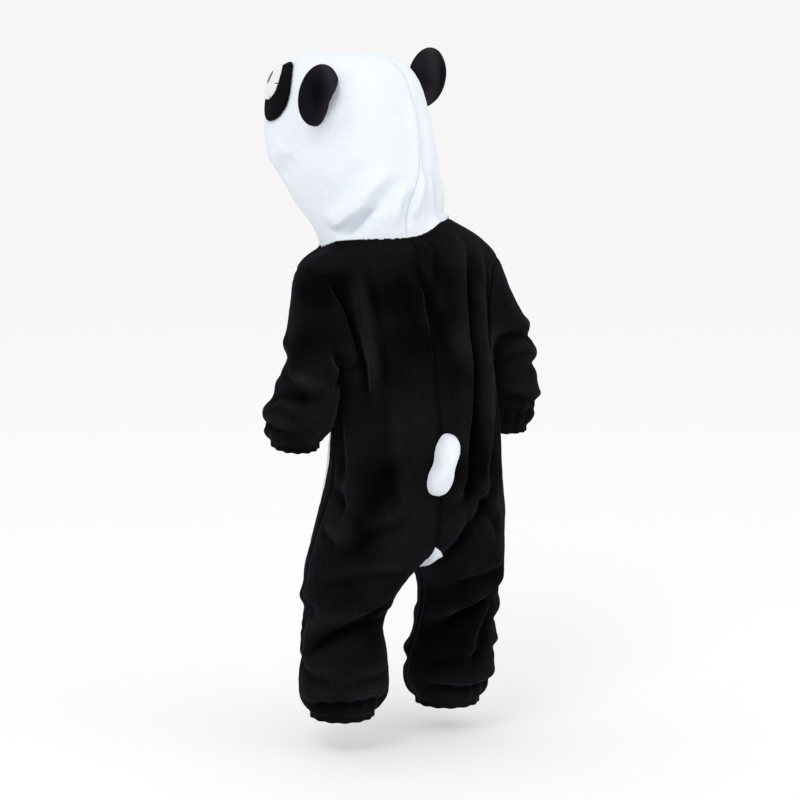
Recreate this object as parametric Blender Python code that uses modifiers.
"""Panda onesie: a hooded plush romper for a toddler, in the form it has when it is worn.

The garment is one skin, lofted through rings and smoothed, with its largest folds pressed
into it. The skin is cut along its seams into panels, and each panel is given the cloth's
thickness on its inner side. Frame: +Z up, the front faces -Y, the wearer's left is +X, and
the origin is the middle of the neck seam, where the wearer's shoulders carry the cloth.
Tables are in millimetres and degrees. Angles run round a tube from its front (0) over the
wearer's left (90) and the back (180) to the wearer's right (270).
"""
import math
from collections import namedtuple

import bmesh
import bpy
import numpy as np
from mathutils import Matrix, Vector
from mathutils.bvhtree import BVHTree

MM = 0.001

# ---------------------------------------------------------------- driving dimensions
CLOTH = 2.0             # plush and its knitted ground
SEAM_GAP = 0.3          # between two panels that are sewn together
LAY_GAP = 0.9           # between a panel and what is sewn flat on it
BEYOND = 0.4            # metres, outside everything, where rays towards the skin start
COLUMNS = 20            # faces round the body and round the hood
SIDE_SEAM = COLUMNS // 4
BACK = COLUMNS // 2
BELLY_COLUMN = 3        # the column that is the edge of the white belly panel
SMOOTHING = 1

# ---------------------------------------------------------------- rings of the body
# raise_right and raise_back lift the ring's right side and back, belly_edge is the angle of
# the white panel's edge, and twist turns the back of the ring to the right
BodyRing = namedtuple("BodyRing", "height x y half_width half_depth raise_right raise_back "
                                  "belly_edge twist")
BODY = [
    BodyRing(15, 2, -2, 72, 63, 15, 3, 34, 5),
    BodyRing(3, -7, 9, 106, 72, 9, 3, 38, 1),
    BodyRing(-14, -6, 21, 129, 77, 4, 0, 43, -1),
    BodyRing(-58, -8, 36, 105, 80, 0, 0, 47, 2),
    BodyRing(-95, -11, 48, 99, 82, 0, 0, 52, -1),
    BodyRing(-129, -15, 57, 97, 86, 0, 0, 58, -2),
    BodyRing(-165, -13, 64, 98, 90, 0, 0, 72, -2),
    BodyRing(-205, -12, 69, 102, 92, 0, 0, 85, 0),
    BodyRing(-245, -10, 71, 105, 93, 0, 0, 89, 0),
    BodyRing(-283, -9, 71, 107, 95, 0, 0, 84, 0),
    BodyRing(-317, -6, 69, 114, 97, 0, 0, 68, 0),
    BodyRing(-344, -3, 67, 119, 98, 0, 12, 34, 0),
]
BODY_SQUARENESS = 2.25
# how far the neck seam rises over its ring, at angles round the neck
NECK_WAVE = ((50, 62, 90, 108, 126, 144, 162, 180, 198, 216, 234, 252, 270),
             (0, -3, -8, 3, 6, 1.5, -3, -10, -9, 8, 9, 4, 0))
BELOW_CROTCH = (-395, -6, 68, 122, 99)      # height, middle and size of both legs together
ARMHOLE_RINGS = (2, 5)      # first and last body ring of the armhole
ARMHOLE_COLUMNS = (4, 7)    # and its columns, on the wearer's left
ARMHOLE_CORNERS = (0, 3, 5, 8)
ARMHOLE_ROUNDING = 0.16     # how far its corners move towards its middle
ARM_COLUMNS = 12            # points round the armhole
ARM_START = -45             # angle round the sleeve of the first of them

# ---------------------------------------------------------------- crotch and legs
# points of the crotch seam between the back and the front of the lowest body ring
CrotchPoint = namedtuple("CrotchPoint", "x y height")
CROTCH = [CrotchPoint(-6, 136, -356), CrotchPoint(-9, 70, -375), CrotchPoint(-7, 6, -366)]

# columns of each leg that carry the belly panel on through the crotch
TONGUE_COLUMNS = {"left": (0, 11, 12, 13), "right": (0, 10, 11, 12, 13)}
LEG_OUTER_SPAN = (-60, 230)     # angles of a leg's outer columns, from front to back
LEG_INNER_ANGLES = (250, 270, 290)

# inner_drop is how much lower the ring's inner side is than its outer side
LegRing = namedtuple("LegRing", "height x y half_width half_depth inner_drop")
LEG_LEFT = [
    LegRing(-374, 66, 69, 57, 82, 14),
    LegRing(-403, 75, 72, 50, 67, 14),
    LegRing(-433, 81, 75, 46, 56, 4),
    LegRing(-461, 80, 78, 51, 56, 0),
    LegRing(-491, 81, 81, 54, 58, 0),
    LegRing(-517, 82, 83, 56, 56, 0),
    LegRing(-533, 84, 84, 45, 46, 0),
]
LEG_RIGHT = [
    LegRing(-374, -73, 65, 49, 80, 14),
    LegRing(-405, -72, 60, 47, 67, 14),
    LegRing(-436, -71, 55, 47, 57, 4),
    LegRing(-468, -71, 50, 53, 57, 0),
    LegRing(-500, -67, 44, 56, 58, 0),
    LegRing(-525, -65, 40, 56, 57, 0),
    LegRing(-541, -66, 38, 46, 47, 0),
]

# ---------------------------------------------------------------- sleeves
# slope is how far the sleeve's run has turned down: 0 points outwards, 90 straight down
# and back_drop is how much lower the ring's back is than its middle
SleeveRing = namedtuple("SleeveRing", "x y height slope half_width half_depth back_drop")
SLEEVE_LEFT = [
    SleeveRing(110, 50, -89, 30, 43, 44, 0),
    SleeveRing(115, 68, -120, 68, 31, 46, 0),
    SleeveRing(120, 82, -150, 84, 35, 48, 0),
    SleeveRing(132, 86, -177, 88, 42, 49, 2),
    SleeveRing(136, 80, -197, 90, 43, 48, 5),
    SleeveRing(137, 74, -210, 90, 35, 38, 6),
]
SLEEVE_RIGHT = [
    SleeveRing(-130, 28, -86, 28, 37, 44, 0),
    SleeveRing(-149, 14, -121, 69, 36, 46, 0),
    SleeveRing(-152, 9, -151, 85, 39, 46, 0),
    SleeveRing(-152, 8, -181, 88, 41, 47, 0),
    SleeveRing(-151, 6, -204, 90, 43, 47, 0),
    SleeveRing(-150, 5, -218, 90, 36, 39, 0),
]

# ---------------------------------------------------------------- hood
# forward is the ring's shift along the hood's own heading, opening the face's half angle,
# and twist turns the back of the ring to the right
HOOD_HEADING = 25
HoodRing = namedtuple("HoodRing", "height forward half_width half_depth opening twist")
HOOD = [
    HoodRing(38, 24, 78, 85, 52, -14),
    HoodRing(70, 38, 85, 97, 62, -4),
    HoodRing(104, 55, 92, 107, 52, 4),
    HoodRing(136, 64, 93, 108, 36, 9),
    HoodRing(167, 66, 87, 100, 33, 10),
    HoodRing(197, 68, 81, 93, 33, 10),
    HoodRing(218, 69, 64, 75, 33, 9),
    HoodRing(225, 70, 38, 49, 33, 8),
]
HOOD_SQUARENESS = 2.3
CROWN_RISE = 1.0            # how far the crown stands over its last ring
OPENING_ROWS = 3            # rows of the hood that are open at the face

# ---------------------------------------------------------------- folds
# A fold is a soft trough from one point of a tube's surface to another. bow bends its
# middle sideways, sink is its depth, and lift raises the cloth along its upper side.
Fold = namedtuple("Fold", "tube from_angle from_height to_angle to_height bow width sink lift")
FOLD_RUN_OUT = 0.12         # share of its length that a fold runs past each of its ends
FOLD_FADE = 0.34            # share of its length over which it comes in
TROUGH_SPREAD = 0.75        # these three are in widths of the fold
CREST_SPREAD = 0.85
CREST_OFFSET = 1.25
FOLDS = [
    # back and sides of the body
    Fold("body", 120, -28, 127, -168, -3, 12, 7, 6),
    Fold("body", 228, -20, 204, -290, 8, 12, 6, 5),
    Fold("body", 176, -15, 190, -120, 5, 12, 5, 3),
    Fold("body", 246, -100, 238, -260, 5, 13, 5, 4),
    Fold("body", 150, -230, 128, -340, 8, 18, 5, 4),
    Fold("body", 228, -270, 190, -352, 3, 13, 7, 5),
    Fold("body", 98, -268, 130, -320, 3, 12, 4, 4),
    Fold("body", 70, -120, 84, -250, 6, 15, 5, 4),
    Fold("body", 292, -110, 280, -260, -6, 15, 5, 4),
    Fold("body", 25, -60, 45, -190, 8, 16, 5, 4),
    Fold("body", 335, -70, 318, -210, -8, 16, 5, 4),
    Fold("body", 20, -345, 62, -300, 6, 15, 5, 4),
    Fold("body", 340, -345, 300, -296, -6, 15, 5, 4),
    # legs
    Fold("leg_left", 96, -466, 220, -401, 0, 12, 8, 8),
    Fold("leg_left", 50, -428, 120, -412, 4, 13, 5, 5),
    Fold("leg_left", 100, -527, 230, -520, 4, 10, 6, 5),
    Fold("leg_left", 300, -462, 420, -470, 5, 12, 6, 6),
    Fold("leg_left", 270, -500, 360, -512, 4, 11, 4, 4),
    Fold("leg_right", 124, -455, 226, -388, 0, 12, 8, 7),
    Fold("leg_right", 222, -450, 296, -432, 4, 12, 5, 5),
    Fold("leg_right", 130, -520, 250, -524, -4, 10, 6, 5),
    Fold("leg_right", 300, -464, 420, -460, 5, 12, 6, 6),
    Fold("leg_right", 0, -508, 90, -500, 4, 11, 4, 4),
    # sleeves
    Fold("sleeve_left", 60, -168, 185, -160, 6, 11, 6, 5),
    Fold("sleeve_left", 20, -195, 130, -200, 5, 10, 4, 4),
    Fold("sleeve_left", 0, -140, 100, -118, 6, 12, 4, 4),
    Fold("sleeve_right", 190, -152, 300, -148, 5, 10, 5, 3),
    Fold("sleeve_right", 200, -192, 300, -190, -4, 10, 5, 3),
    Fold("sleeve_right", 200, -116, 290, -112, 5, 10, 4, 4),
    Fold("sleeve_right", 320, -170, 430, -168, 5, 10, 5, 4),
    # hood
    Fold("hood", 96, 17, 162, 80, -8, 11, 8, 7),
    Fold("hood", 190, 30, 196, 170, 4, 9, 4, 4),
    Fold("hood", 226, 10, 205, 70, -6, 12, 5, 4),
    Fold("hood", 104, 112, 138, 152, 3, 16, 4, 3),
    Fold("hood", 60, 80, 84, 104, 3, 12, 4, 4),
    Fold("hood", 262, 40, 236, 120, 6, 14, 4, 3),
]

# ---------------------------------------------------------------- gathered hems
HEM_WAVES = 13
HEM_STEPS = 4               # columns for each wave
HEM_HEIGHT = 11
HEM_WAVE_DEPTH = 2.6
HEM_NARROWING = 5
HEM_SHRINK = 1.6            # the casing sits inside the mouth of the tube above it
HEM_WAIST = 1.2             # twice the share of its height where the elastic is tightest
HEM_SAG = 1.2               # how much the lower edge rises and falls with its waves
HEM_UNEVEN = (0.7, 0.4)     # how much the waves bunch up twice and three times round
# share of the casing's height, and of its waves' depth, at each of its rings
HEM_LEVELS = [(0.0, 0.0), (0.5, 0.55), (1.0, 1.0)]

# ---------------------------------------------------------------- trims
EAR_WIDTH = 64
EAR_HEIGHT = 73
EAR_DEPTH = 16              # how deep the cup is
EAR_THICKNESS = 5
EAR_SIDEWAYS = 89           # the ear's middle, from the hood's middle plane
EAR_FORWARD = 16            # and from the neck's middle, along the hood's heading
EAR_LEFT_HEIGHT = 178
EAR_RIGHT_HEIGHT = 196
EAR_LEAN = 10               # how far its top leans back
EAR_RINGS = 4
EAR_SEAT = 1.2              # the sewn edge stays this clear of the hood

EYE_ANGLE = 62
EYE_HEIGHT = 180
EYE_WIDTH = 62
EYE_LENGTH = 70
EYE_TILT = -27
IRIS_ANGLE = 54
IRIS_HEIGHT = 190
IRIS_WIDTH = 37
IRIS_LENGTH = 40
PATCH_LOFT = 0.8            # the patch spans the curve of the hood under it
MUZZLE_HEIGHT = 132
MUZZLE_WIDTH = 66
MUZZLE_LENGTH = 42
MUZZLE_RISE = 12
MUZZLE_LOFT = 0.4           # and so does the muzzle
NOSE_HEIGHT = 140
NOSE_WIDTH = 20
NOSE_LENGTH = 13
NOSE_RISE = 3
TRIM_RISE = 1.8
TRIM_SPOKES = 16

TAIL_ANGLE = 181
TAIL_HEIGHT = -239
TAIL_WIDTH = 31
TAIL_LENGTH = 72
TAIL_TILT = -15
TAIL_RISE = 28

PLACKET_TOP = -9
PLACKET_BOTTOM = -334
PLACKET_WIDTH = 22
PLACKET_ROWS = 16
STUDS = 6
STUD_MARGIN = 14            # from the placket's ends to the first and last stud
STUD_LOFT = 0.75            # from the placket to the stud's cap
STUD_TAPER = 0.8
STUD_RADIUS = 5.5
STUD_RISE = 2.0

PANELS = ["back_left", "back_right", "front_left", "front_right", "belly_left", "belly_right",
          "sleeve_left", "sleeve_right", "hood_left", "hood_right"]

# ---------------------------------------------------------------- materials
BLACK = (0.012, 0.011, 0.016)
EAR_BLACK = (0.018, 0.016, 0.021)
WHITE = (0.88, 0.89, 0.93)
STUD_WHITE = (0.80, 0.80, 0.82)
EYE_WHITE = (0.70, 0.69, 0.66)
PLUSH_ROUGHNESS = 0.9
STUD_ROUGHNESS = 0.4


def make_material(name, colour, roughness):
    material = bpy.data.materials.new(name)
    material.use_nodes = True
    shader = material.node_tree.nodes["Principled BSDF"]
    shader.inputs["Base Color"].default_value = (*colour, 1.0)
    shader.inputs["Roughness"].default_value = roughness
    shader.inputs["Metallic"].default_value = 0.0
    return material


def put(name, mesh, colour, roughness=PLUSH_ROUGHNESS):
    """A finished sub-part with a material of its own."""
    mesh.name = name
    mesh.shade_smooth()
    mesh.materials.clear()
    mesh.materials.append(make_material(name + "_finish", colour, roughness))
    part = bpy.data.objects.new(name, mesh)
    collection.objects.link(part)
    return part


# ---------------------------------------------------------------- the skin's cage

def outline_point(angle, half_width, half_depth, squareness):
    """Point of a squared ellipse, from the front over the wearer's left."""
    side, front = math.sin(math.radians(angle)), math.cos(math.radians(angle))
    power = 2.0 / squareness
    x = half_width * math.copysign(abs(side) ** power, side)
    y = -half_depth * math.copysign(abs(front) ** power, front)
    return Vector((x, y))


def column_angles(front_edge):
    """Angles of all columns: the front ones close up with the edge of the front panel."""
    half = [front_edge * k / BELLY_COLUMN for k in range(BELLY_COLUMN + 1)]
    side = max(90, front_edge + 10)
    half.append((front_edge + side) / 2)
    half += [side + (180 - side) * k / (BACK - SIDE_SEAM) for k in range(BACK - SIDE_SEAM + 1)]
    return half + [360 - angle for angle in reversed(half[1:BACK])]


def body_ring(row):
    points = []
    for angle in column_angles(row.belly_edge):
        turned = angle + row.twist * (1 - math.cos(math.radians(angle))) / 2
        flat = outline_point(turned, row.half_width, row.half_depth, BODY_SQUARENESS)
        lift = row.raise_back * flat.y / row.half_depth - row.raise_right * flat.x / row.half_width
        if row is BODY[0]:
            lift += np.interp(angle, *NECK_WAVE)
        points.append(Vector((row.x + flat.x, row.y + flat.y, row.height + lift)))
    return points


def hood_centre(row):
    heading = math.radians(HOOD_HEADING)
    return Vector((row.forward * math.sin(heading), -row.forward * math.cos(heading)))


def hood_ring(row):
    points = []
    centre = hood_centre(row)
    for angle in column_angles(row.opening):
        turned = angle + row.twist * (1 - math.cos(math.radians(angle))) / 2
        flat = outline_point(turned, row.half_width, row.half_depth, HOOD_SQUARENESS)
        flat.rotate(turn_left)
        points.append(Vector((centre.x + flat.x, centre.y + flat.y, row.height)))
    return points


def leg_ring(row, side):
    """Ring of a leg: the outer columns of the body ring, then those of the crotch seam."""
    outer = np.linspace(*LEG_OUTER_SPAN, BACK + 1)
    points = []
    for angle in (*outer, *LEG_INNER_ANGLES):
        flat = outline_point(angle, row.half_width, row.half_depth, 2.0)
        inwards = 0.5 * (1 - flat.x / row.half_width)
        points.append(Vector((row.x + side * flat.x, row.y + flat.y,
                              row.height - row.inner_drop * inwards)))
    return points


def sleeve_ring(row, side):
    """Ring of a sleeve, from the front corner of the armhole's top over the back."""
    slope = math.radians(row.slope)
    outwards = Vector((side * math.sin(slope), 0, math.cos(slope)))
    points = []
    for step in range(ARM_COLUMNS):
        turn = math.radians(ARM_START + 360 / ARM_COLUMNS * step)
        point = Vector((row.x, row.y, row.height)) + row.half_width * math.cos(turn) * outwards
        point.y += row.half_depth * math.sin(turn)
        point.z -= row.back_drop * math.sin(turn)
        points.append(point)
    return points


def add_ring(cage, points):
    return [cage.verts.new(point * MM) for point in points]


def add_row(cage, above, below, panel_of):
    """Faces between two closed rings. panel_of names each face's panel, or None for a hole."""
    count = len(above)
    for k in range(count):
        panel = panel_of(k)
        if panel is None:
            continue
        after = (k + 1) % count
        face = cage.faces.new((above[k], above[after], below[after], below[k]))
        face.material_index = PANELS.index(panel)


def body_panel(column, row):
    """Panel of a body face, or None inside an armhole."""
    left = column < BACK
    k = column if left else COLUMNS - 1 - column
    first, last = ARMHOLE_COLUMNS
    if ARMHOLE_RINGS[0] <= row < ARMHOLE_RINGS[1] and first <= k < last:
        return None
    kind = "belly" if k < BELLY_COLUMN else "front" if k < SIDE_SEAM else "back"
    return kind + ("_left" if left else "_right")


def leg_panel(column, row, side_name):
    """Panel of a leg face: the belly panel runs on under the crotch in the first row."""
    if row == 0 and column in TONGUE_COLUMNS[side_name]:
        return "belly_" + side_name
    back = SIDE_SEAM <= column <= 11
    return ("back_" if back else "front_") + side_name


def hood_panel(column, row):
    side = "left" if column < BACK else "right"
    k = column if column < BACK else COLUMNS - 1 - column
    if row < OPENING_ROWS and k < BELLY_COLUMN:
        return None
    return "hood_" + side


def armhole_loop(rings, columns):
    top, bottom = ARMHOLE_RINGS
    loop = [rings[top][k] for k in columns]
    loop += [rings[row][columns[-1]] for row in range(top + 1, bottom)]
    loop += [rings[bottom][k] for k in reversed(columns)]
    loop += [rings[row][columns[0]] for row in range(bottom - 1, top, -1)]
    return loop


def add_sleeve(cage, rings, columns, rows, side, name):
    loop = armhole_loop(rings, columns)
    middle = sum((vertex.co for vertex in loop), Vector()) / len(loop)
    for corner in ARMHOLE_CORNERS:
        loop[corner].co = loop[corner].co.lerp(middle, ARMHOLE_ROUNDING)
    above = loop
    for row in rows:
        below = add_ring(cage, sleeve_ring(row, side))
        add_row(cage, above, below, lambda k: name)
        above = below


def add_leg(cage, hip_ring, crotch, rows, side, side_name):
    above = hip_ring + crotch
    for number, row in enumerate(rows):
        below = add_ring(cage, leg_ring(row, side))
        add_row(cage, above, below, lambda k: leg_panel(k, number, side_name))
        above = below


def add_hood(cage, neck):
    above = neck
    for number, row in enumerate(HOOD):
        below = add_ring(cage, hood_ring(row))
        add_row(cage, above, below, lambda k: hood_panel(k, number))
        above = below
    spine = [above[0]]
    for k in range(1, BACK):
        middle = (above[k].co + above[COLUMNS - k].co) / 2
        spine.append(cage.verts.new(middle + Vector((0, 0, CROWN_RISE * MM))))
    spine.append(above[BACK])
    for k in range(BACK):
        for side, edge in (("left", above[:BACK + 1]), ("right", [above[0]] + above[:BACK - 1:-1])):
            corners = [edge[k], edge[k + 1], spine[k + 1], spine[k]]
            corners = [c for i, c in enumerate(corners) if c not in corners[:i]]
            face = cage.faces.new(corners)
            face.material_index = PANELS.index("hood_" + side)


def build_cage():
    cage = bmesh.new()
    rings = [add_ring(cage, body_ring(row)) for row in BODY]
    for number in range(len(rings) - 1):
        add_row(cage, rings[number], rings[number + 1], lambda k: body_panel(k, number))
    first, last = ARMHOLE_COLUMNS
    left_columns = list(range(first, last + 1))
    right_columns = [COLUMNS - k for k in left_columns]
    add_sleeve(cage, rings, left_columns, SLEEVE_LEFT, 1, "sleeve_left")
    add_sleeve(cage, rings, right_columns, SLEEVE_RIGHT, -1, "sleeve_right")
    crotch = [cage.verts.new(Vector((p.x, p.y, p.height)) * MM) for p in CROTCH]
    hips = rings[-1]
    add_leg(cage, hips[:BACK + 1], crotch, LEG_LEFT, 1, "left")
    right_hip = [hips[0]] + hips[:BACK - 1:-1]
    add_leg(cage, right_hip, crotch, LEG_RIGHT, -1, "right")
    add_hood(cage, rings[0])
    # the inner corners of the armholes belong to no face
    loose = [vertex for vertex in cage.verts if not vertex.link_faces]
    bmesh.ops.delete(cage, geom=loose, context="VERTS")
    bmesh.ops.recalc_face_normals(cage, faces=cage.faces[:])
    rearmost = max(cage.faces, key=lambda face: face.calc_center_median().y)
    if rearmost.normal.y < 0:
        bmesh.ops.reverse_faces(cage, faces=cage.faces[:])
    return cage


def smooth_mesh(cage):
    """The cage, smoothed by Subdivision Surface, as a new mesh."""
    mesh = bpy.data.meshes.new("skin_cage")
    for panel in PANELS:
        mesh.materials.append(bpy.data.materials.new(panel))
    cage.to_mesh(mesh)
    cage.free()
    guide = bpy.data.objects.new("skin_cage", mesh)
    bpy.context.scene.collection.objects.link(guide)
    rounding = guide.modifiers.new("rounding", "SUBSURF")
    rounding.levels = SMOOTHING
    rounding.render_levels = SMOOTHING
    rounding.boundary_smooth = "ALL"
    evaluated = guide.evaluated_get(bpy.context.evaluated_depsgraph_get())
    skin = bpy.data.meshes.new_from_object(evaluated)
    bpy.data.objects.remove(guide)
    return skin


# ---------------------------------------------------------------- folds pressed into the skin

def tube_table(tube):
    """Heights, centres and mean radius of a tube, from its rings."""
    if tube == "body":
        rows = [(r.height, r.x, r.y, r.half_width, r.half_depth) for r in BODY]
        rows.append(BELOW_CROTCH)
    elif tube == "hood":
        rows = [(r.height, *hood_centre(r), r.half_width, r.half_depth) for r in HOOD]
        rows += [(BODY[0].height, BODY[0].x, BODY[0].y, BODY[0].half_width, BODY[0].half_depth)]
    else:
        table = {"leg_left": LEG_LEFT, "leg_right": LEG_RIGHT,
                 "sleeve_left": SLEEVE_LEFT, "sleeve_right": SLEEVE_RIGHT}[tube]
        rows = [(r.height, r.x, r.y, r.half_width, r.half_depth) for r in table]
    return np.array(sorted(rows))


def tube_position(tube, points):
    """Angle round the tube, in degrees, and height, in millimetres, of each point."""
    table = tube_table(tube)
    height = points[:, 2]
    x = points[:, 0] - np.interp(height, table[:, 0], table[:, 1])
    y = points[:, 1] - np.interp(height, table[:, 0], table[:, 2])
    angle = np.degrees(np.arctan2(x, -y))
    if tube == "hood":
        angle -= HOOD_HEADING
    return angle % 360, height


def fold_rise(fold, angle, height, radius):
    """Outward shift, in millimetres, that a fold gives to each point of its tube."""
    degree = math.pi * radius / 180
    middle = (fold.from_angle + fold.to_angle) / 2
    along_x = ((angle - middle + 180) % 360 - 180) * degree
    start = np.array(((fold.from_angle - middle) * degree, fold.from_height))
    end = np.array(((fold.to_angle - middle) * degree, fold.to_height))
    run = end - start
    length = np.hypot(*run)
    run /= length
    offset_x, offset_y = along_x - start[0], height - start[1]
    along = (offset_x * run[0] + offset_y * run[1]) / length
    across = offset_y * run[0] - offset_x * run[1]
    across = across * math.copysign(1, run[0]) - fold.bow * 4 * along * (1 - along)
    fade = np.clip((np.minimum(along, 1 - along) + FOLD_RUN_OUT) / FOLD_FADE, 0, 1)
    fade = fade * fade * (3 - 2 * fade)
    across /= fold.width
    trough = np.exp(-(across / TROUGH_SPREAD) ** 2)
    crest = np.exp(-((across - CREST_OFFSET) / CREST_SPREAD) ** 2)
    return fade * (fold.lift * crest - fold.sink * trough)


def tube_of_panel(panel):
    if panel.startswith(("sleeve", "hood")):
        return "hood" if panel.startswith("hood") else panel
    return "body"


def fold_skin(skin):
    count = len(skin.vertices)
    points = np.empty(count * 3)
    skin.vertices.foreach_get("co", points)
    points = points.reshape(-1, 3) / MM
    normals = np.empty(count * 3)
    skin.vertex_normals.foreach_get("vector", normals)
    normals = normals.reshape(-1, 3)
    members = {tube: np.zeros(count, bool) for tube in ("body", "sleeve_left", "sleeve_right", "hood")}
    for face in skin.polygons:
        members[tube_of_panel(PANELS[face.material_index])][list(face.vertices)] = True
    lower = members["body"] & (points[:, 2] < BODY[-1].height)
    members["leg_left"] = lower & (points[:, 0] > CROTCH[1].x)
    members["leg_right"] = lower & (points[:, 0] < CROTCH[1].x)
    rise = np.zeros(count)
    for fold in FOLDS:
        chosen = members[fold.tube]
        angle, height = tube_position(fold.tube, points[chosen])
        radius = tube_table(fold.tube)[:, 3:].mean()
        rise[chosen] += fold_rise(fold, angle, height, radius)
    rise *= edge_hold(skin)
    points += normals * rise[:, None]
    skin.vertices.foreach_set("co", (points * MM).ravel())
    skin.update()


def edge_hold(skin):
    """1 inside the skin and 0 on its free edges, where the hems keep their form."""
    uses = np.zeros(len(skin.edges), int)
    loop_edges = np.empty(len(skin.loops), int)
    skin.loops.foreach_get("edge_index", loop_edges)
    np.add.at(uses, loop_edges, 1)
    hold = np.ones(len(skin.vertices))
    for edge, used in zip(skin.edges, uses):
        if used == 1:
            hold[list(edge.vertices)] = 0.0
    return hold


# ---------------------------------------------------------------- panels

def cut_panel(skin, number):
    """One panel of the skin, drawn back from its seams and thickened inwards."""
    panel = bmesh.new()
    panel.from_mesh(skin)
    panel.verts.ensure_lookup_table()
    inward = {vertex.index: -vertex.normal.copy() for vertex in panel.verts}
    tag = panel.verts.layers.int.new("skin_index")
    for vertex in panel.verts:
        vertex[tag] = vertex.index
    others = [face for face in panel.faces if face.material_index != number]
    bmesh.ops.delete(panel, geom=others, context="FACES")
    shifts = {}
    for vertex in panel.verts:
        if not vertex.is_boundary:
            continue
        normal = -inward[vertex[tag]]
        shift = Vector()
        for edge in vertex.link_edges:
            if edge.is_boundary:
                face = edge.link_faces[0]
                side = (edge.verts[1].co - edge.verts[0].co).cross(normal).normalized()
                towards = face.calc_center_median() - edge.verts[0].co
                shift += side if side.dot(towards) > 0 else -side
        spread = shift.length / 2
        shifts[vertex] = shift.normalized() * (SEAM_GAP / 2 * MM / max(spread, 0.5))
    for vertex, shift in shifts.items():
        vertex.co += shift
    lining = panel.verts[:]
    bmesh.ops.extrude_face_region(panel, geom=panel.faces[:], use_keep_orig=True)
    for vertex in lining:
        vertex.co += inward[vertex[tag]] * CLOTH * MM
    bmesh.ops.recalc_face_normals(panel, faces=panel.faces[:])
    bmesh.ops.triangulate(panel, faces=panel.faces[:])
    mesh = bpy.data.meshes.new(PANELS[number])
    panel.to_mesh(mesh)
    panel.free()
    return mesh


# ---------------------------------------------------------------- gathered hems

def hem_mesh(row, back_drop=0):
    """A gathered elastic casing under the last ring of a sleeve or leg."""
    columns = HEM_WAVES * HEM_STEPS
    hem = bmesh.new()

    def ring(level, wave, inset):
        points = []
        for k in range(columns):
            turn = 2 * math.pi * k / columns
            bunch = HEM_UNEVEN[0] * math.sin(2 * turn) + HEM_UNEVEN[1] * math.sin(3 * turn)
            ripple = math.cos(HEM_WAVES * turn + bunch)
            pull = math.sin(math.pi * min(level, HEM_WAIST / 2) / HEM_WAIST)
            shrink = HEM_SHRINK + HEM_NARROWING * pull + inset
            shrink += HEM_WAVE_DEPTH * wave * (1 - ripple) / 2
            flat = outline_point(math.degrees(turn), row.half_width - shrink,
                                 row.half_depth - shrink, 2.0)
            sag = HEM_SAG * wave * ripple + back_drop * flat.y / row.half_depth
            z = row.height - SEAM_GAP - level * HEM_HEIGHT - sag
            points.append(Vector((row.x + flat.x, row.y + flat.y, z)))
        return add_ring(hem, points)

    outer = [ring(level, wave, 0) for level, wave in HEM_LEVELS]
    inner = [ring(level, wave, CLOTH) for level, wave in HEM_LEVELS]
    loops = outer + inner[::-1] + outer[:1]
    for above, below in zip(loops, loops[1:]):
        for k in range(columns):
            after = (k + 1) % columns
            hem.faces.new((above[k], above[after], below[after], below[k]))
    bmesh.ops.recalc_face_normals(hem, faces=hem.faces[:])
    bmesh.ops.triangulate(hem, faces=hem.faces[:])
    mesh = bpy.data.meshes.new("hem")
    hem.to_mesh(mesh)
    hem.free()
    return mesh


# ---------------------------------------------------------------- trims laid on the skin

def surface_point(tree, tube, angle, height, lift):
    """Point of a tube's surface, moved out along the surface's normal."""
    table = tube_table(tube)
    x = np.interp(height, table[:, 0], table[:, 1])
    y = np.interp(height, table[:, 0], table[:, 2])
    turn = math.radians(angle + (HOOD_HEADING if tube == "hood" else 0))
    outwards = Vector((math.sin(turn), -math.cos(turn), 0))
    foot = Vector((x, y, height)) * MM
    spot, normal = tree.ray_cast(foot + outwards * BEYOND, -outwards)[:2]
    return spot + normal * lift * MM


def laid_disc(tree, tube, angle, height, width, length, tilt, dome, under=0, rings=3):
    """A patch or pad whose back follows what it lies on, above a layer of depth under."""
    spokes = TRIM_SPOKES
    radius = tube_table(tube)[:, 3:].mean()
    degree = math.pi * radius / 180
    lean = math.radians(tilt)
    disc = bmesh.new()

    def layer(base, crown):
        rows = []
        for step in range(rings + 1):
            share = step / rings
            row = []
            for spoke in range(spokes if step else 1):
                turn = 2 * math.pi * spoke / spokes
                across = share * width / 2 * math.cos(turn)
                up = share * length / 2 * math.sin(turn)
                around = across * math.cos(lean) - up * math.sin(lean)
                along = across * math.sin(lean) + up * math.cos(lean)
                lift = base + crown * math.sqrt(max(0.0, 1 - share ** 2))
                spot = surface_point(tree, tube, angle + around / degree, height + along, lift)
                row.append(disc.verts.new(spot))
            rows.append(row)
        return rows

    back = layer(LAY_GAP + under, 0)
    face = layer(LAY_GAP + under + TRIM_RISE, dome)
    for rows in (back, face):
        for spoke in range(spokes):
            after = (spoke + 1) % spokes
            disc.faces.new((rows[0][0], rows[1][spoke], rows[1][after]))
            for step in range(1, rings):
                disc.faces.new((rows[step][spoke], rows[step + 1][spoke],
                                rows[step + 1][after], rows[step][after]))
    for spoke in range(spokes):
        after = (spoke + 1) % spokes
        disc.faces.new((back[-1][spoke], back[-1][after], face[-1][after], face[-1][spoke]))
    bmesh.ops.recalc_face_normals(disc, faces=disc.faces[:])
    bmesh.ops.triangulate(disc, faces=disc.faces[:])
    mesh = bpy.data.meshes.new("disc")
    disc.to_mesh(mesh)
    disc.free()
    return mesh


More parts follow.
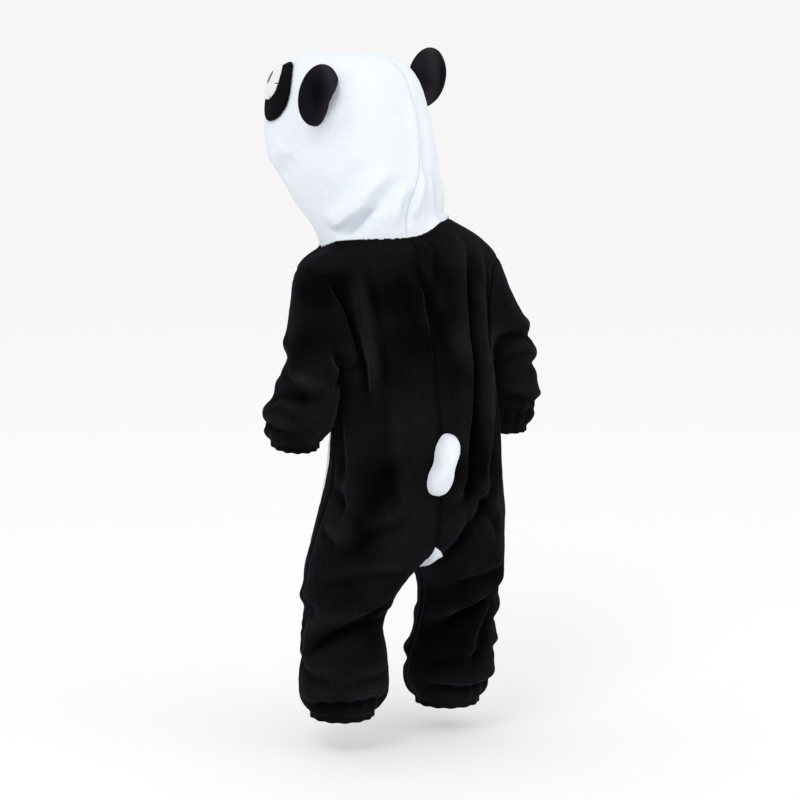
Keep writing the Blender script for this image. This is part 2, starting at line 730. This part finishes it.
def placket_mesh(tree):
    """The strip over the centre-front opening, laid on the two belly panels."""
    rows = PLACKET_ROWS
    strip = bmesh.new()
    radius = tube_table("body")[:, 3:].mean()
    half = math.degrees(PLACKET_WIDTH / 2 / radius)
    across = [-half, -half / 2, 0, half / 2, half]
    sheets = []
    for lift in (LAY_GAP, LAY_GAP + TRIM_RISE):
        sheet = []
        for step in range(rows + 1):
            height = PLACKET_TOP + (PLACKET_BOTTOM - PLACKET_TOP) * step / rows
            sheet.append([strip.verts.new(surface_point(tree, "body", angle, height, lift))
                          for angle in across])
        sheets.append(sheet)
    for sheet in sheets:
        for upper, lower in zip(sheet, sheet[1:]):
            for k in range(len(across) - 1):
                strip.faces.new((upper[k], upper[k + 1], lower[k + 1], lower[k]))
    rims = [sheet[0] + [row[-1] for row in sheet[1:]] + sheet[-1][-2::-1]
            + [row[0] for row in sheet[-2:0:-1]] for sheet in sheets]
    count = len(rims[0])
    for k in range(count):
        after = (k + 1) % count
        strip.faces.new((rims[0][k], rims[0][after], rims[1][after], rims[1][k]))
    bmesh.ops.recalc_face_normals(strip, faces=strip.faces[:])
    bmesh.ops.triangulate(strip, faces=strip.faces[:])
    mesh = bpy.data.meshes.new("placket")
    strip.to_mesh(mesh)
    strip.free()
    return mesh


def stud_mesh(tree, height):
    """A press stud's cap on the placket."""
    spot = surface_point(tree, "body", 0, height, 0)
    above = surface_point(tree, "body", 0, height + STUD_RADIUS, 0)
    below = surface_point(tree, "body", 0, height - STUD_RADIUS, 0)
    side = Vector((1, 0, 0))
    normal = side.cross(above - below).normalized()
    if normal.y > 0:
        normal = -normal
    stud = bmesh.new()
    bmesh.ops.create_cone(stud, cap_ends=True, segments=12, radius1=STUD_RADIUS * MM,
                          radius2=STUD_TAPER * STUD_RADIUS * MM, depth=STUD_RISE * MM)
    out = (LAY_GAP + TRIM_RISE + STUD_LOFT + STUD_RISE / 2) * MM
    turn = Vector((0, 0, 1)).rotation_difference(normal).to_matrix()
    bmesh.ops.rotate(stud, verts=stud.verts[:], matrix=turn)
    bmesh.ops.translate(stud, verts=stud.verts[:], vec=spot + normal * out)
    mesh = bpy.data.meshes.new("stud")
    stud.to_mesh(mesh)
    stud.free()
    return mesh


def clear_of(tree, spot, gap):
    """The point, or the one gap outside the skin where the point is nearer or inside."""
    near, normal = tree.find_nearest(spot)[:2]
    if (spot - near).dot(normal) < gap * MM:
        return near + normal * gap * MM
    return spot


def ear_mesh(tree, side, height):
    """A cup-shaped ear, hollow towards the front, whose inner edge lies on the hood."""
    heading = math.radians(HOOD_HEADING)
    forward = Vector((math.sin(heading), -math.cos(heading), 0))
    outwards = Vector((math.cos(heading), math.sin(heading), 0)) * side
    middle = (forward * EAR_FORWARD + outwards * EAR_SIDEWAYS + Vector((0, 0, height))) * MM
    lean = math.radians(EAR_LEAN)
    upwards = Vector((0, 0, math.cos(lean))) - forward * math.sin(lean)
    forward = forward * math.cos(lean) + Vector((0, 0, math.sin(lean)))
    rings, spokes = EAR_RINGS, TRIM_SPOKES
    ear = bmesh.new()
    layers = []
    for front in (0.0, EAR_THICKNESS):
        base = middle + forward * front * MM
        rows = []
        for step in range(rings + 1):
            row = []
            for spoke in range(spokes if step else 1):
                turn = 2 * math.pi * spoke / spokes
                reach = Vector((EAR_WIDTH / 2 * math.cos(turn), EAR_HEIGHT / 2 * math.sin(turn)))
                run = (outwards * reach.x + upwards * reach.y) * MM
                hit = tree.ray_cast(base, run.normalized())
                length = run.length
                if hit[0] is not None:
                    length = min(length, hit[3] - EAR_SEAT * MM)
                share = step / rings
                cup = forward * EAR_DEPTH * (1 - share ** 2) * MM
                spot = base + run.normalized() * length * share - cup
                row.append(ear.verts.new(clear_of(tree, spot, EAR_SEAT)))
            rows.append(row)
        layers.append(rows)
    for rows in layers:
        for spoke in range(spokes):
            after = (spoke + 1) % spokes
            ear.faces.new((rows[0][0], rows[1][spoke], rows[1][after]))
            for step in range(1, rings):
                ear.faces.new((rows[step][spoke], rows[step + 1][spoke],
                               rows[step + 1][after], rows[step][after]))
    for spoke in range(spokes):
        after = (spoke + 1) % spokes
        ear.faces.new((layers[0][-1][spoke], layers[0][-1][after],
                       layers[1][-1][after], layers[1][-1][spoke]))
    bmesh.ops.recalc_face_normals(ear, faces=ear.faces[:])
    bmesh.ops.triangulate(ear, faces=ear.faces[:])
    mesh = bpy.data.meshes.new("ear")
    ear.to_mesh(mesh)
    ear.free()
    return mesh


# ---------------------------------------------------------------- assembly
for leftover in list(bpy.data.objects):
    bpy.data.objects.remove(leftover)
collection = bpy.data.collections.new("panda_onesie")
bpy.context.scene.collection.children.link(collection)
turn_left = Matrix.Rotation(math.radians(HOOD_HEADING), 2)

skin = smooth_mesh(build_cage())
fold_skin(skin)
tree = BVHTree.FromPolygons([vertex.co.copy() for vertex in skin.vertices],
                            [tuple(face.vertices) for face in skin.polygons])

for number, panel in enumerate(PANELS):
    white = panel.startswith(("hood", "belly"))
    put(panel, cut_panel(skin, number), WHITE if white else BLACK)

for name, row in (("cuff_left", SLEEVE_LEFT[-1]), ("cuff_right", SLEEVE_RIGHT[-1])):
    put(name, hem_mesh(row, row.back_drop), BLACK)
for name, row in (("ankle_left", LEG_LEFT[-1]), ("ankle_right", LEG_RIGHT[-1])):
    put(name, hem_mesh(row), BLACK)

for side_name, side, ear_height in (("left", 1, EAR_LEFT_HEIGHT), ("right", -1, EAR_RIGHT_HEIGHT)):
    put("ear_" + side_name, ear_mesh(tree, side, ear_height), EAR_BLACK)
    put("eye_patch_" + side_name,
        laid_disc(tree, "hood", side * EYE_ANGLE, EYE_HEIGHT, EYE_WIDTH, EYE_LENGTH,
                  side * EYE_TILT, 0, under=PATCH_LOFT), BLACK)
    put("eye_" + side_name,
        laid_disc(tree, "hood", side * IRIS_ANGLE, IRIS_HEIGHT, IRIS_WIDTH, IRIS_LENGTH,
                  side * EYE_TILT, 0, under=PATCH_LOFT + LAY_GAP + TRIM_RISE), EYE_WHITE)

muzzle = put("muzzle", laid_disc(tree, "hood", 0, MUZZLE_HEIGHT, MUZZLE_WIDTH, MUZZLE_LENGTH,
                                 0, MUZZLE_RISE, under=MUZZLE_LOFT), WHITE)
muzzle_tree = BVHTree.FromPolygons([vertex.co.copy() for vertex in muzzle.data.vertices],
                                   [tuple(face.vertices) for face in muzzle.data.polygons])
put("nose", laid_disc(muzzle_tree, "hood", 0, NOSE_HEIGHT, NOSE_WIDTH, NOSE_LENGTH, 0,
                      NOSE_RISE), BLACK)
put("tail", laid_disc(tree, "body", TAIL_ANGLE, TAIL_HEIGHT, TAIL_WIDTH, TAIL_LENGTH,
                      TAIL_TILT, TAIL_RISE, rings=4), WHITE)
put("placket", placket_mesh(tree), WHITE)
for number in range(STUDS):
    share = number / (STUDS - 1)
    height = PLACKET_TOP - STUD_MARGIN + (PLACKET_BOTTOM - PLACKET_TOP + 2 * STUD_MARGIN) * share
    put(f"stud_{number + 1}", stud_mesh(tree, height), STUD_WHITE, STUD_ROUGHNESS)
bpy.data.meshes.remove(skin)
